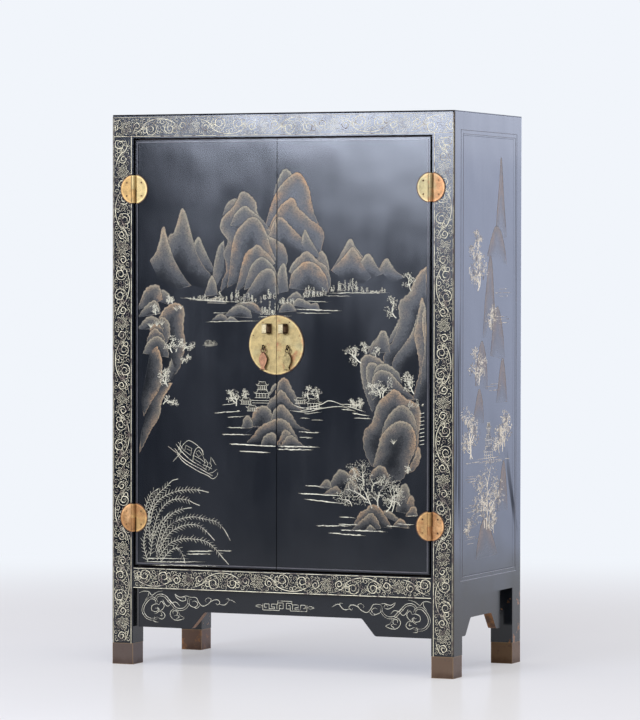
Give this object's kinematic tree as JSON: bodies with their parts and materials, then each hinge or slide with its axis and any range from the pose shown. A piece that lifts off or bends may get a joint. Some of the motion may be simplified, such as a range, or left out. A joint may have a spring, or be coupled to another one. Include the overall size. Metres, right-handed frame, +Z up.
{
  "type": "lacquered two-door cabinet",
  "caption": "Upright black lacquer cabinet whose posts run down to brass-shod feet, with paired doors on round brass hinges, a round lock plate and hanging fish pulls.",
  "frame": {"origin": "on the floor, in the middle of the width and midway between the front of the lock staples and the back", "axes": "+Z up, +X to the right as seen from the front, +Y to the back; the doors face -Y"},
  "size_m": [0.78, 0.418, 1.168],
  "materials": {
    "black_lacquer": "worn black lacquer with gilt drawing",
    "inner_lacquer": "dull dark brown lacquer",
    "pale_brass": "rubbed pale brass with copper-coloured stains",
    "dark_brass": "dark patinated brass",
    "copper_pull": "coppery rubbed brass",
    "dark_iron": "dark aged iron"
  },
  "bodies": {
    "carcass": {"post_front_left": "black_lacquer", "post_front_right": "black_lacquer", "post_rear_left": "black_lacquer", "post_rear_right": "black_lacquer", "shoe_front_left": "dark_brass", "shoe_front_right": "dark_brass", "shoe_rear_left": "dark_brass", "shoe_rear_right": "dark_brass", "front_top_rail": "black_lacquer", "front_bottom_rail": "black_lacquer", "rear_top_rail": "black_lacquer", "rear_bottom_rail": "black_lacquer", "side_top_rail_left": "black_lacquer", "side_top_rail_right": "black_lacquer", "side_bottom_rail_left": "black_lacquer", "side_bottom_rail_right": "black_lacquer", "side_panel_left": "black_lacquer", "side_panel_right": "black_lacquer", "back_panel": "black_lacquer", "top_board": "black_lacquer", "floor_board": "inner_lacquer", "shelf": "inner_lacquer", "shelf_bearer_left": "inner_lacquer", "shelf_bearer_right": "inner_lacquer", "door_stop_top": "inner_lacquer", "door_stop_bottom": "inner_lacquer", "front_apron": "black_lacquer", "side_apron_left": "black_lacquer", "side_apron_right": "black_lacquer", "hinge_upper_left_frame_leaf": "pale_brass", "hinge_upper_left_pin": "dark_iron", "hinge_lower_left_frame_leaf": "pale_brass", "hinge_lower_left_pin": "dark_iron", "hinge_upper_right_frame_leaf": "pale_brass", "hinge_upper_right_pin": "dark_iron", "hinge_lower_right_frame_leaf": "pale_brass", "hinge_lower_right_pin": "dark_iron"},
    "door_left": {"door_left": "black_lacquer", "hinge_upper_left_door_leaf": "pale_brass", "hinge_lower_left_door_leaf": "pale_brass", "lock_plate_left": "pale_brass", "staple_left": "pale_brass", "pull_eye_left": "dark_iron"},
    "door_right": {"door_right": "black_lacquer", "hinge_upper_right_door_leaf": "pale_brass", "hinge_lower_right_door_leaf": "pale_brass", "lock_plate_right": "pale_brass", "staple_right": "pale_brass", "pull_eye_right": "dark_iron"},
    "pull_left": {"pull_left": "copper_pull"},
    "pull_right": {"pull_right": "copper_pull"}
  },
  "joints": [
    {"name": "door_left_swing", "type": "hinge", "parent": "carcass", "child": "door_left", "pos_m": [-0.3385, -0.1913, 0.6615], "axis": [0, 0, -1], "range_deg": [0, 175]},
    {"name": "door_right_swing", "type": "hinge", "parent": "carcass", "child": "door_right", "pos_m": [0.3385, -0.1913, 0.6615], "axis": [0, 0, 1], "range_deg": [0, 175]},
    {"name": "pull_left_swing", "type": "hinge", "parent": "door_left", "child": "pull_left", "pos_m": [-0.0355, -0.1934, 0.676], "axis": [-1, 0, 0], "range_deg": [0, 100]},
    {"name": "pull_right_swing", "type": "hinge", "parent": "door_right", "child": "pull_right", "pos_m": [0.0195, -0.1934, 0.676], "axis": [-1, 0, 0], "range_deg": [0, 100]}
  ]
}
